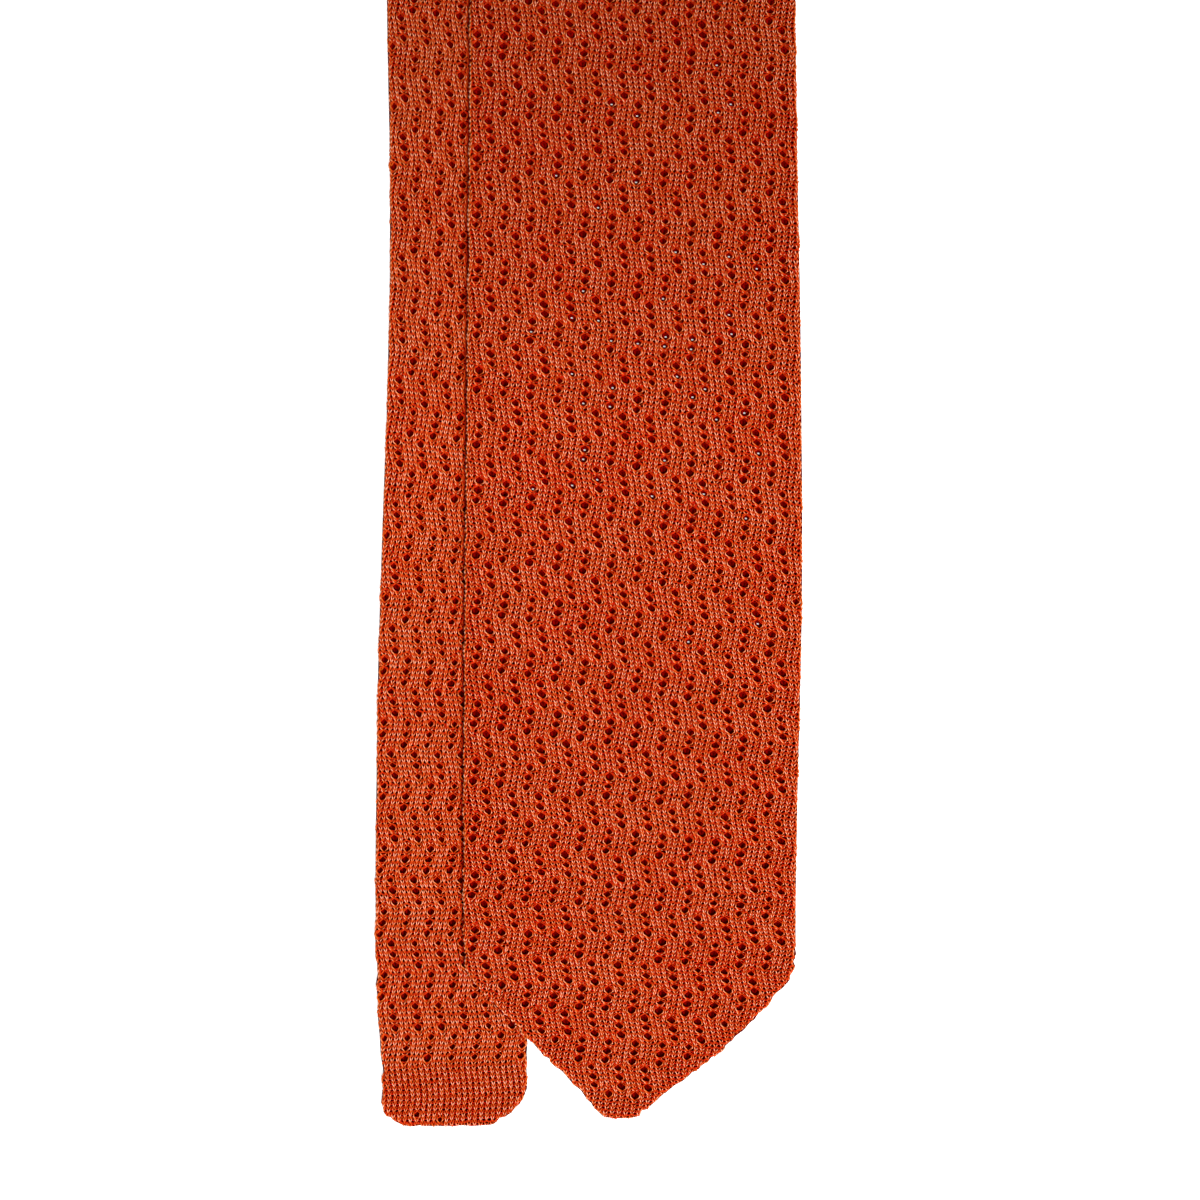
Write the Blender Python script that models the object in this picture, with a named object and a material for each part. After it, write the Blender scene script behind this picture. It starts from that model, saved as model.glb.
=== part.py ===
"""Grenadine tie: a silk tie knitted as flat hollow tubes and laid folded in half.

The wide blade lies on top with its pointed end, the narrow blade lies below it and shows along its left
side, and the neck band joins the two through the fold at the far end. Every piece is a flattened tube: two
knitted layers joined by a rounded fold along each side. The tie lies on the plane z = 0 along Y, with both
free ends towards -Y. Metres, +Z up.
"""

import bmesh
import bpy
import numpy as np

# Lengths of the tie, along Y
FOLDED_LENGTH = 0.727
BLADE_LENGTH = 0.490
BLADE_STRAIGHT = 0.290
NARROW_LENGTH = 0.480
HEM_HEIGHT = 0.0142
POINT_LENGTH = 0.0365
POINT_SETBACK = 0.0019
BEND_START = 0.300

# Widths and the side step between the two blades, along X
BLADE_WIDTH = 0.080
NARROW_WIDTH = 0.034
NECK_WIDTH = 0.032
BLADE_OFFSET = 0.0425
NECK_OFFSET = 0.0210

# The knitted cloth
KNIT_WALL = 0.0010
LAYER_GAP = 0.0004
PIECE_GAP = 0.0003
SEWN_EDGE = 0.0034
HEM_FOLD = 0.0022
FOLD_RADIUS = 0.0022
FOLD_EASE = 0.032
DRAPE_RUN = 0.011
DRAPE_MARGIN = 0.0006

THICKNESS = 2 * KNIT_WALL + LAYER_GAP
LAYER_RISE = THICKNESS + PIECE_GAP

# Pointed end, tip to shoulder. Columns: rise as a share of POINT_LENGTH, then how far the left and the right
# edge lie from the centre line, as shares of half the blade's width. Right of the line is positive.
POINT_ROWS = (
    (0.000, -0.130, 0.000),
    (0.010, -0.160, 0.030),
    (0.040, -0.200, 0.060),
    (0.075, -0.225, 0.090),
    (0.120, -0.255, 0.140),
    (0.220, -0.330, 0.275),
    (0.330, -0.440, 0.400),
    (0.510, -0.600, 0.600),
    (0.640, -0.720, 0.715),
    (0.770, -0.834, 0.830),
    (0.870, -0.920, 0.915),
    (0.940, -0.965, 0.960),
    (1.000, -1.000, 0.980),
)

# Wide blade above the shoulder. Columns: rise as a share of BLADE_LENGTH, then the left and the right edge's
# distance from the centre line as shares of half the width there, which follow the cloth's slight waves.
BLADE_ROWS = (
    (0.075, -1.000, 0.980),
    (0.120, -1.008, 0.984),
    (0.190, -1.004, 0.992),
    (0.250, -0.998, 1.015),
    (0.315, -0.990, 1.020),
    (0.390, -0.984, 1.012),
    (0.460, -0.972, 0.995),
    (0.550, -0.966, 0.980),
    (0.700, -1.000, 1.000),
    (1.000, -1.000, 1.000),
)

# Narrow blade above its hem. Columns: rise as a share of NARROW_LENGTH, then the centre line's sideways sway
# and the width, both as shares of NARROW_WIDTH.
NARROW_ROWS = (
    (0.000, 0.000, 1.000),
    (0.025, 0.000, 1.000),
    (0.070, -0.040, 1.010),
    (0.125, -0.045, 1.020),
    (0.220, -0.035, 1.015),
    (0.320, -0.015, 1.010),
    (0.410, 0.015, 1.005),
    (0.490, 0.045, 1.000),
    (0.560, 0.025, 1.000),
    (0.700, 0.000, 1.000),
    (1.000, 0.000, 1.000),
)

# Rounded lower end of the hem. Columns: rise as a share of HEM_HEIGHT, then the left and the right edge as
# shares of half the narrow blade's width.
HEM_ROWS = (
    (0.000, -0.540, 0.290),
    (0.020, -0.600, 0.350),
    (0.080, -0.720, 0.500),
    (0.150, -0.915, 0.630),
    (0.280, -0.985, 0.815),
    (0.420, -0.975, 0.950),
    (0.560, -0.970, 1.000),
    (1.000, -1.000, 1.000),
)

# Facets of the sections and of the lofts
FLAT_STEPS = 4
BEFORE_STEP = 3
ON_STEP = 5
AFTER_STEP = 7
SIDE_STEPS = 4
ROUND_RISES = (0.0, 0.13, 0.45, 1.0)
LOFT_SPACING = 0.016
FOLD_STEPS = 8
EASE_STEPS = 4
OUTLINE_SAMPLES = 400
SMOOTH_ANGLE = np.radians(50.0)

# Shares that shape the sections: thickness left at a closed end, where the sewn edge of the point fades out,
# and where the step off the narrow blade may begin and how wide it may be across the wide blade
END_SHARE = 0.4
SEWN_UNTIL = 0.8
SEWN_FADE = 0.4
STEP_START_SHARES = (0.15, 0.55)
STEP_RUN_SHARES = (0.10, 0.30)

# Finish of each sub-part: colour, roughness
COLOURS = {
    "wide_blade": ((0.440, 0.046, 0.015), 0.62),
    "narrow_blade": ((0.456, 0.048, 0.016), 0.62),
    "tail_hem": ((0.520, 0.063, 0.021), 0.58),
    "neck_band": ((0.440, 0.046, 0.015), 0.66),
}


def ease(share):
    """Smooth step from 0 to 1 over a share that is held between 0 and 1."""
    held = np.clip(share, 0.0, 1.0)
    return held * held * (3.0 - 2.0 * held)


def from_rows(rows, column, share):
    """Read one column of a table at a share of its length, in a straight line between its rows."""
    table = np.array(rows)
    return np.interp(share, table[:, 0], table[:, column])


# Frame: the box round the laid tie is centred on X and Y.
TAIL_END = -FOLDED_LENGTH / 2
TIP = TAIL_END + POINT_SETBACK
BLADE_SEAM = TIP + BLADE_LENGTH
NARROW_SEAM = TAIL_END + NARROW_LENGTH
HEM_TOP = TAIL_END + HEM_HEIGHT
FAR_END = FOLDED_LENGTH / 2


def neck_share(y, seam):
    """How far a centre line has bent from its blade's own line to the neck's, from 0 to 1."""
    start = TAIL_END + BEND_START
    return ease((y - start) / (seam - start))


def narrow_edges(y, origin):
    """Left and right edge of the narrow blade at y, from the centre line at origin."""
    share = (y - TAIL_END) / NARROW_LENGTH
    bent = neck_share(y, NARROW_SEAM)
    centre = origin + NECK_OFFSET * bent + NARROW_WIDTH * from_rows(NARROW_ROWS, 1, share)
    seam_width = NARROW_WIDTH + (NECK_WIDTH - NARROW_WIDTH) * bent
    half = seam_width * from_rows(NARROW_ROWS, 2, share) / 2
    return centre - half, centre + half


def blade_edges(y, origin):
    """Left and right edge of the wide blade at y, from the narrow blade's centre line at origin."""
    rise = y - TIP
    bent = neck_share(y, BLADE_SEAM)
    taper = ease((rise - BLADE_STRAIGHT) / (BLADE_LENGTH - BLADE_STRAIGHT))
    half = (BLADE_WIDTH + (NECK_WIDTH - BLADE_WIDTH) * taper) / 2
    centre = origin + BLADE_OFFSET + (NECK_OFFSET - BLADE_OFFSET) * bent
    shares = []
    for side in (1, 2):
        point = from_rows(POINT_ROWS, side, rise / POINT_LENGTH)
        body = from_rows(BLADE_ROWS, side, rise / BLADE_LENGTH)
        shares.append(np.where(rise < POINT_LENGTH, point, body))
    return centre + half * shares[0], centre + half * shares[1]


def hem_edges(y, origin):
    """Left and right edge of the hem at y, from the narrow blade's centre line at origin."""
    share = (y - TAIL_END) / HEM_HEIGHT
    half = NARROW_WIDTH / 2
    return origin + half * from_rows(HEM_ROWS, 1, share), origin + half * from_rows(HEM_ROWS, 2, share)


def centred_origin():
    """Place of the narrow blade's centre line that puts the laid tie's box on x = 0."""
    y = np.linspace(TAIL_END, FAR_END, OUTLINE_SAMPLES)
    left = np.min(narrow_edges(np.clip(y, TAIL_END, NARROW_SEAM), 0.0)[0])
    right = np.max(blade_edges(np.clip(y, TIP, BLADE_SEAM), 0.0)[1])
    return -(left + right) / 2


NARROW_LINE = centred_origin()


def drape_height(x, y):
    """Underside of the wide blade: it lies on the narrow blade and falls to the ground beyond its edge."""
    narrow_right = narrow_edges(np.clip(y, TAIL_END, NARROW_SEAM), NARROW_LINE)[1]
    return LAYER_RISE * (1.0 - ease((x - narrow_right - DRAPE_MARGIN) / DRAPE_RUN))


def flat_columns():
    """Shares across a section that lies flat."""
    return np.linspace(0.0, 1.0, FLAT_STEPS + 1)


def draped_columns(left, right, y):
    """Shares across the wide blade's section, closer together where it steps down off the narrow blade."""
    narrow_right = narrow_edges(np.clip(y, TAIL_END, NARROW_SEAM), NARROW_LINE)[1]
    first = np.clip((narrow_right - left) / (right - left), *STEP_START_SHARES)
    last = first + np.clip(DRAPE_RUN / (right - left), *STEP_RUN_SHARES)
    before = np.linspace(0.0, first, BEFORE_STEP + 1)
    step = np.linspace(first, last, ON_STEP + 1)
    after = np.linspace(last, 1.0, AFTER_STEP + 1)
    return np.concatenate((before, step[1:], after[1:]))


def band_outline(left, right, base, thickness, columns):
    """Outline of a flat band with half-round sides, as x and height above the band's own ground.

    It runs along the underside to the right, round the right side, back along the top and round the left.
    """
    radius = min(thickness, right - left) / 2
    flat = left + radius + (right - left - 2 * radius) * columns
    turn = np.linspace(-np.pi / 2, np.pi / 2, SIDE_STEPS + 1)[1:-1]
    out = radius * np.cos(turn)
    up = thickness / 2 * np.sin(turn)
    middle = np.full_like(turn, base + thickness / 2)
    x = np.concatenate((flat, right - radius + out, flat[::-1], left + radius - out))
    height = np.concatenate((
        np.full_like(flat, base),
        middle + up,
        np.full_like(flat, base + thickness),
        middle - up,
    ))
    return x, height


def loft(rings_out, rings_in, closed_start):
    """Faces of a tube wall between its outer and its inner rings.

    The outer rings run the whole length. The inner rings end at the same open end, and at an open start too;
    at a closed start both are capped.
    """
    rings = list(rings_out) + list(rings_in)
    count = len(rings_out[0])
    points = np.concatenate(rings)
    around = np.arange(count)
    beyond = (around + 1) % count
    outer = len(rings_out)
    total = len(rings)
    faces = []
    for first, last in ((0, outer - 1), (outer, total - 1)):
        for ring in range(first, last):
            low = ring * count
            high = low + count
            faces += zip(low + around, low + beyond, high + beyond, high + around)
    end_out = (outer - 1) * count
    end_in = (total - 1) * count
    faces += zip(end_out + around, end_out + beyond, end_in + beyond, end_in + around)
    if closed_start:
        faces.append(tuple(around))
        faces.append(tuple(outer * count + around))
    else:
        start_in = outer * count
        faces += zip(around, beyond, start_in + beyond, start_in + around)
    return points, [tuple(int(corner) for corner in face) for face in faces]


def knit_material(name):
    """Principled material of one sub-part."""
    colour, roughness = COLOURS[name]
    material = bpy.data.materials.new(name + "_silk")
    material.use_nodes = True
    shader = material.node_tree.nodes["Principled BSDF"]
    shader.inputs["Base Color"].default_value = (*colour, 1.0)
    shader.inputs["Roughness"].default_value = roughness
    shader.inputs["Metallic"].default_value = 0.0
    material.diffuse_color = (*colour, 1.0)
    return material


def add_piece(name, collection, rings_out, rings_in, closed_start):
    """Make one named object from its outer and inner rings."""
    points, faces = loft(rings_out, rings_in, closed_start)
    mesh = bpy.data.meshes.new(name)
    mesh.from_pydata(points.tolist(), [], faces)
    work = bmesh.new()
    work.from_mesh(mesh)
    bmesh.ops.triangulate(work, faces=work.faces[:])
    bmesh.ops.recalc_face_normals(work, faces=work.faces[:])
    work.to_mesh(mesh)
    work.free()
    mesh.shade_smooth()
    mesh.set_sharp_from_angle(angle=SMOOTH_ANGLE)
    mesh.materials.append(knit_material(name))
    piece = bpy.data.objects.new(name, mesh)
    collection.objects.link(piece)
    return piece


def even_places(low, high):
    """Evenly spaced places of a loft's sections from low to high."""
    return np.linspace(low, high, max(2, int(round((high - low) / LOFT_SPACING)) + 1))


def merged(*groups):
    """All places in order, without those that lie closer than half a piece gap to the one before."""
    places = np.sort(np.concatenate(groups))
    keep = np.concatenate(([True], np.diff(places) > PIECE_GAP / 2))
    return places[keep]


def end_thickness(rise):
    """Thickness near a closed end, which is rounded over half the full thickness."""
    short = 1.0 - np.clip(rise / (THICKNESS / 2), 0.0, 1.0)
    return THICKNESS * max(END_SHARE, np.sqrt(1.0 - short * short))


def round_end(start):
    """Sections that round off a closed end."""
    return start + THICKNESS / 2 * np.array(ROUND_RISES)


def make_wide_blade(collection):
    """Pointed blade, draped over the narrow one. Along the point its two layers are sewn together."""
    table = TIP + POINT_LENGTH * np.array(POINT_ROWS)[:, 0]
    places = merged(round_end(TIP), table[2:], even_places(TIP + POINT_LENGTH, BLADE_SEAM))
    rings_out, rings_in = [], []
    for y in places:
        left, right = (float(edge) for edge in blade_edges(y, NARROW_LINE))
        columns = draped_columns(left, right, y)
        thickness = end_thickness(y - TIP)
        x, height = band_outline(left, right, 0.0, thickness, columns)
        rings_out.append(np.column_stack((x, np.full_like(x, y), height + drape_height(x, y))))
        pointed = 1.0 - ease(((y - TIP) / POINT_LENGTH - SEWN_UNTIL) / SEWN_FADE)
        inset = KNIT_WALL + (SEWN_EDGE - KNIT_WALL) * pointed
        if right - left > 2 * inset + 2 * SEWN_EDGE and y - TIP > SEWN_EDGE:
            x, height = band_outline(left + inset, right - inset, KNIT_WALL, LAYER_GAP, columns)
            rings_in.append(np.column_stack((x, np.full_like(x, y), height + drape_height(x, y))))
    return add_piece("wide_blade", collection, rings_out, rings_in, True)


def make_narrow_blade(collection):
    """Straight-sided blade under the wide one, open at both ends."""
    rings_out, rings_in = [], []
    for y in even_places(HEM_TOP + PIECE_GAP, NARROW_SEAM):
        left, right = (float(edge) for edge in narrow_edges(y, NARROW_LINE))
        x, height = band_outline(left, right, 0.0, THICKNESS, flat_columns())
        rings_out.append(np.column_stack((x, np.full_like(x, y), height)))
        x, height = band_outline(left + KNIT_WALL, right - KNIT_WALL, KNIT_WALL, LAYER_GAP, flat_columns())
        rings_in.append(np.column_stack((x, np.full_like(x, y), height)))
    return add_piece("narrow_blade", collection, rings_out, rings_in, False)


def make_tail_hem(collection):
    """Plain knitted band that closes the narrow blade's end with a rounded fold."""
    table = TAIL_END + HEM_HEIGHT * np.array(HEM_ROWS)[:, 0]
    places = merged(round_end(TAIL_END), table[2:])
    rings_out, rings_in = [], []
    for y in places:
        left, right = (float(edge) for edge in hem_edges(y, NARROW_LINE))
        thickness = end_thickness(y - TAIL_END)
        x, height = band_outline(left, right, 0.0, thickness, flat_columns())
        rings_out.append(np.column_stack((x, np.full_like(x, y), height)))
        if y - TAIL_END > HEM_FOLD:
            x, height = band_outline(left + KNIT_WALL, right - KNIT_WALL, KNIT_WALL, LAYER_GAP, flat_columns())
            rings_in.append(np.column_stack((x, np.full_like(x, y), height)))
    return add_piece("tail_hem", collection, rings_out, rings_in, True)


def neck_path():
    """Middle line of the neck band: places and normals in the YZ plane.

    It runs out along the ground from the narrow blade, turns over at the far end, and comes back on top of
    itself down to the wide blade. The normal points to the inside of the fold.
    """
    centre_y = FAR_END - FOLD_RADIUS - THICKNESS / 2
    ground = THICKNESS / 2
    lower_y = even_places(NARROW_SEAM + PIECE_GAP, centre_y)
    lower = np.column_stack((lower_y, np.full_like(lower_y, ground)))
    turn = np.linspace(-np.pi / 2, np.pi / 2, FOLD_STEPS + 1)[1:-1]
    bend = np.column_stack((
        centre_y + FOLD_RADIUS * np.cos(turn),
        ground + FOLD_RADIUS + FOLD_RADIUS * np.sin(turn),
    ))
    settle = centre_y - FOLD_EASE * np.linspace(0.0, 1.0, EASE_STEPS + 1)
    upper_y = merged(even_places(BLADE_SEAM + PIECE_GAP, settle[-1]), settle)[::-1]
    drop = 2 * FOLD_RADIUS - LAYER_RISE
    upper = np.column_stack((
        upper_y,
        ground + LAYER_RISE + drop * ease((upper_y - centre_y + FOLD_EASE) / FOLD_EASE),
    ))
    line = np.concatenate((lower, bend, upper))
    along = np.gradient(line, axis=0)
    along[0] = (1.0, 0.0)
    along[-1] = (-1.0, 0.0)
    along /= np.linalg.norm(along, axis=1)[:, None]
    normal = np.column_stack((-along[:, 1], along[:, 0]))
    return line, normal


def make_neck_band(collection):
    """Band that goes round the neck, folded over on itself at the far end."""
    centre = NARROW_LINE + NECK_OFFSET
    left = centre - NECK_WIDTH / 2
    right = centre + NECK_WIDTH / 2
    outline_out = band_outline(left, right, -THICKNESS / 2, THICKNESS, flat_columns())
    outline_in = band_outline(
        left + KNIT_WALL, right - KNIT_WALL, -LAYER_GAP / 2, LAYER_GAP, flat_columns())
    rings_out, rings_in = [], []
    for place, normal in zip(*neck_path()):
        for rings, (x, height) in ((rings_out, outline_out), (rings_in, outline_in)):
            y = place[0] + height * normal[0]
            z = place[1] + height * normal[1]
            rings.append(np.column_stack((x, y, z)))
    return add_piece("neck_band", collection, rings_out, rings_in, False)


def main():
    """Clear the scene and make the four pieces in a collection of their own."""
    for old in list(bpy.data.objects):
        bpy.data.objects.remove(old, do_unlink=True)
    collection = bpy.data.collections.new("grenadine_tie")
    bpy.context.scene.collection.children.link(collection)
    make_wide_blade(collection)
    make_narrow_blade(collection)
    make_tail_hem(collection)
    make_neck_band(collection)


main()
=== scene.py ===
"""Grenadine tie: the looks of an openwork knitted silk tie, laid folded in half, the pointed blade on top.

The stretch that lies under the camera is knitted stitch by stitch: every course is one closed yarn that runs
through its loops. The rest is thin closed cloth on the same grid of stitches. Metres, +Z up.
"""

import math
from collections import namedtuple
from functools import cache

import bpy
import numpy as np
from bpy.props import FloatProperty, FloatVectorProperty, IntProperty, PointerProperty
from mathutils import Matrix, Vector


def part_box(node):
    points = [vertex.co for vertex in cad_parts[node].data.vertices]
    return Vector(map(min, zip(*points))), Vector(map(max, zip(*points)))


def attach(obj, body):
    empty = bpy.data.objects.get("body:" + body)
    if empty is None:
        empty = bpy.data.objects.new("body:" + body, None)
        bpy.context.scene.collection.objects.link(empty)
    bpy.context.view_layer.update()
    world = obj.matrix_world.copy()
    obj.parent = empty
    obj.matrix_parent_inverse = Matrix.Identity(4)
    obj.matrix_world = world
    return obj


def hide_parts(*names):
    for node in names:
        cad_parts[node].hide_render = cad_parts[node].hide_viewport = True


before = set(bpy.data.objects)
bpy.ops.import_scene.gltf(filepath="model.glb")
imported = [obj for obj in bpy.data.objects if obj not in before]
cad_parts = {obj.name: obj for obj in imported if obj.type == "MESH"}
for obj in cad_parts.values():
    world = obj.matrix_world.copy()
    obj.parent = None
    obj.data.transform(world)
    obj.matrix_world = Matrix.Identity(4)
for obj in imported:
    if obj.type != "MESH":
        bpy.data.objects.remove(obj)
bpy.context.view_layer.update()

bl_info = {
    "name": "Grenadine tie",
    "version": (1, 0, 0),
    "blender": (4, 5, 0),
    "location": "3D View > Sidebar > Tie",
    "description": "Openwork knitted silk tie, laid folded in half",
    "category": "Object",
}

MM = 0.001
TINY = 1e-9
BLACK = (0.0, 0.0, 0.0, 1.0)
WHITE = (1.0, 1.0, 1.0, 1.0)
ROOT = "root"

# Places that come from the frame
LOW_Z, HIGH_Z = (float(corner[2]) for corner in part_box("narrow_blade"))
THICKNESS = HIGH_Z - LOW_Z
BLADE_SEAM, NARROW_SEAM = (float(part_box(name)[1][1]) for name in ("wide_blade", "narrow_blade"))
(NECK_LEFT, _, _), (NECK_RIGHT, FAR_END, _) = ([float(v) for v in end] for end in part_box("neck_band"))

# How the tie lies, as in the frame: clearance between pieces, the step down off the narrow blade, the fold
PIECE_GAP = 0.3 * MM
LAYER_RISE = THICKNESS + PIECE_GAP
DRAPE_MARGIN = 0.6 * MM
DRAPE_RUN = 11 * MM
FOLD_RADIUS = 2.2 * MM
FOLD_EASE = 32 * MM

# Neck band: lap over the blades' ends, length of a course, steps along its lower leg, its fold and its upper
# leg, and round a half-round side
SEAM_LAP = 0.2 * MM
NECK_COURSE = 1.2 * MM
NECK_STEPS = (60, 33, 120)
SIDE_STEPS = 12

# Length of the pointed end, and the width of the sewn edge along it, which has no eyelets
POINT_LENGTH = 36.5 * MM
SEWN_EDGE = 3.4 * MM

# Where the single stitches end and the cloth goes on, past the camera's view, and their overlap
FINE_END = -85 * MM
LAP = 1.5 * MM

# Under the wide blade, from its edge: how far the narrow one is still stitched, and where its cloth begins
STITCHED_TO = 4 * MM
HIDDEN_FROM = 3 * MM

# Outline of a laid piece: spacing of its points and the smoothing of its edges
EDGE_STEP = 0.5 * MM
EDGE_BLUR = 1.6 * MM
CORNER_LOSS = 1.0 * MM
FINE_SPACING = 0.25 * MM
POINT_SPACING = 1.25 * MM
SIDE_SPACING = 8 * MM
CORNER_RUN = 5 * MM

# How far the knitting stands beyond the frame's outline, in mm: places along Y, then left, right and down
WIDE_NUDGES = np.array((
    (-365, 0.1, 0.3, 0.6),
    (-300, 0.1, 0.5, 0.6),
    (-265, 0.1, 0.9, 0.4),
    (-200, 0.1, 0.5, 0.0),
    (-90, 0.0, 0.4, 0.0),
    (0, 0, 0, 0),
)) * MM
TAIL_NUDGES = np.array((
    (-364, 2.2, 1.8, 0.5),
    (-357, 1.0, 0.9, 0.5),
    (-350, 0.4, 0.8, 0.4),
    (-320, 0.3, 0.8, 0.3),
    (-250, 0.0, 0.0, 0.0),
    (-195, -0.9, 0.0, 0.0),
    (-165, -0.9, 0.0, 0.0),
    (-120, 0.2, 0.0, 0.0),
    (0, 0, 0, 0),
)) * MM

# Points of one loop of yarn, sides of the yarn, and stitches worked out beyond the blade's own
POINTS = 8
SIDES = 3
HALO = 3

# Shape of a loop: half height and sway as shares of a course and a wale, how far its sides stand proud, an
# eyelet's radius, what distances up the blade count for round it, and how far the loop is drawn in
Loop = namedtuple("Loop", "height sway depth eyelet squeeze drawn_in")
HEM_LOOP = Loop(0.90, 0.33, 0.20 * MM, 0.80 * MM, 0.9, 0.09)
DRAWN_IN = 0.06
WIDE_SQUEEZE = 0.9
TAIL_SQUEEZE = 0.58
TAIL_EYELET = 0.84

# Round an eyelet: power that rounds off the push, its reach, also in stitches, how far up a course the
# middle lies, reach of the smooth arc. Least and spread of eyelets and bright tops, unevenness of the rise
PUSH_POWER = 2.1
PUSH_REACH = 2.6 * MM
PUSH_STITCHES = 2
PUSH_LIFT = 0.12
ARC_REACH = 1.1 * MM
EYELET_RANGE = (0.84, 0.3)
# BRIGHT_RANGE spreads the painted highlight unevenly from stitch to stitch
BRIGHT_RANGE = (0.85, 0.3)
UNEVEN_RISE = 0.4

# Eyelets in the repeat: courses of the holes in wale 0 and in wale 2, counted upwards
REPEAT_WALES = 4
REPEAT_COURSES = 12
FIRST_HOLES = (1, 3, 5)
SECOND_HOLES = (7, 9, 11)

# Slab of cloth, and a tube's two layers: height above their ground, and most turn round the tube's side
SLAB = 0.6 * MM
UPPER = (THICKNESS - SLAB / 2 - 0.1 * MM, 1.95)
UNDER = (0.45 * MM, 1.60)
TURN_MARGIN = 0.01 * MM

# Painted light on the yarn: a painted highlight on its top and painted shade on its lower parts
# Yarn's bright top: power and gain, least share, the share where a layer stands on edge, that of the arc
CREST_POWER = 1.8
CREST_GAIN = 1.15
LEAST_CREST = 0.12
SIDE_CREST = 0.6
ARC_SHARE = 0.35

# Weight of patches and of fibres in the yarn's colour, its roughness and how that varies, sheen, bump of plies
YARN_PATCHES = 0.15
YARN_FIBRES = 0.3
YARN_ROUGHNESS = (0.30, 0.12)
SHEEN = 0.08
SHEEN_TINT = (1.0, 0.40, 0.25, 1.0)
PLY_BUMP = (0.25, 0.03 * MM)

# Yarn's bake map: share of its strip that a side fills, and the caps' margin, width and rise
STRIP_FILL = 0.85
CAP_MARGIN = 0.002
CAP_WIDTH = 0.001
CAP_RISE = 0.1

# Noise scales: slow patches, fibres, grain of the floor. Patches of either layer's cloth: weight and scale;
# the lower layer's are heavy painted shade, dark spots like the deep shade under the eyelets
PATCH_SCALE = 60.0
FIBRE_SCALE = 2500.0
GRAIN_SCALE = 900.0
UPPER_PATCHES = (0.3, PATCH_SCALE)
UNDER_SHADE_PATCHES = (2.2, 260.0)

# Twisted plies: their number along the bake map, and their shift from side to side of the yarn
PLIES = 1500.0
PLY_SHIFT = 400.0

# A stitch of the cloth's pattern, in shares of a wale: start of its arm, lean and half width
ARM_START = 0.12
ARM_LEAN = 0.26
ARM_WIDTH = 0.16

# Its weight in the colour, where it paints light on the arms and painted shade between them, power and
# share of its loss at the ends, bump, and each layer's roughness
RELIEF_WEIGHT = 0.85
END_LOSS = (4.0, 0.5)
STITCH_BUMP = (0.7, 0.25 * MM)
UPPER_ROUGHNESS = (0.45, 0.1)
UNDER_ROUGHNESS = (0.6, 0.1)

# Unevenness of the edges: of single courses, over EDGE_COURSES of them, and its reach inwards
EDGE_SEED = 100
EDGE_UNEVEN = (0.08 * MM, 0.05 * MM)
EDGE_COURSES = 9
EDGE_FADE = 2 * MM

# Unevenness of the outline round the lower end, and how far in from a side the nearest eyelets lie
POINT_UNEVEN = 0.22 * MM
EDGE_EYELET = 1.7 * MM
TAIL_EDGE_EYELET = 0.7 * EDGE_EYELET
CLOTH_EYELET = 1.6 * MM

# Painted shade: the silk is darkened towards the picture's top: from where along Y, and by how much per metre
DIM_FROM = -200 * MM
DIMMING = 2.2

# Painted shadow beside the wide blade: the share of its bright top that the narrow one's yarn loses,
# and how far out
EDGE_SHADE = 0.8
EDGE_SHADE_REACH = 1.1 * MM

# Size left to the lower layer's eyelets, and where they meet the upper ones: middle, reach, share of eyelets
UNDER_HOLE = 0.30
ALIGNED = (17 * MM, -181 * MM, 26 * MM, 42 * MM, 0.20)

# Courses by which the stitches and the cloth overshoot a blade's lower and upper end
STITCH_MARGIN = 6
CLOTH_MARGIN = 8
HEM_MARGIN = 2
TAIL_MARGIN = 6
LAP_COURSES = 12

# Floor: half its side, how far it lies below the tie, its two greys, and its roughness and how that varies
FLOOR_REACH = 4.0
FLOOR_DROP = 0.05 * MM
PAPER_GREYS = ((0.93, 0.93, 0.93, 1.0), (0.95, 0.95, 0.95, 1.0))
PAPER_ROUGHNESS = (0.85, 0.05)

# Eyelets at the very end of the tail, as wales from its middle and courses from its end
HEM_EYELETS = ((-6, 2), (-2, 1))
HEM_COURSES = 11

# Wide blade, in mm: places along Y, length of a course there, drop of the courses per mm to the right, and
# how far a wale swings to each side within a repeat
ROW_UNITS = (MM, MM, 1, MM)
WIDE_ROWS = np.array((
    (-365, 1.030, 0.060, 0.59),
    (-317, 1.040, 0.065, 0.63),
    (-288, 1.090, 0.110, 0.63),
    (-259, 1.100, 0.145, 0.63),
    (-230, 1.120, 0.145, 0.59),
    (-201, 1.130, 0.130, 0.53),
    (-173, 1.140, 0.103, 0.46),
    (-144, 1.140, 0.078, 0.43),
    (-94, 1.140, 0.077, 0.43),
    (130, 1.150, 0.020, 0.40),
)) * ROW_UNITS

# Narrow blade, in the same columns
NARROW_ROWS = np.array((
    (-365, 1.230, -0.020, 0.20),
    (-349, 1.230, -0.030, 0.55),
    (-309, 1.260, 0.000, 0.75),
    (-271, 1.240, 0.020, 0.70),
    (-232, 1.230, 0.065, 0.60),
    (-194, 1.220, 0.109, 0.52),
    (-156, 1.210, 0.133, 0.48),
    (-94, 1.190, 0.133, 0.45),
    (120, 1.190, 0.020, 0.28),
)) * ROW_UNITS


def length(name, description, size):
    """Property for a length."""
    return FloatProperty(name=name, description=description, default=size, unit="LENGTH", precision=5)


def share(name, description, size):
    """Property for a share."""
    return FloatProperty(name=name, description=description, default=size, subtype="FACTOR")


def colour(name, description, *rgb):
    """Property for an opaque colour."""
    return FloatVectorProperty(
        name=name, description=description, default=(*rgb, 1.0), subtype="COLOR", size=4, min=0.0, max=1.0)


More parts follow.
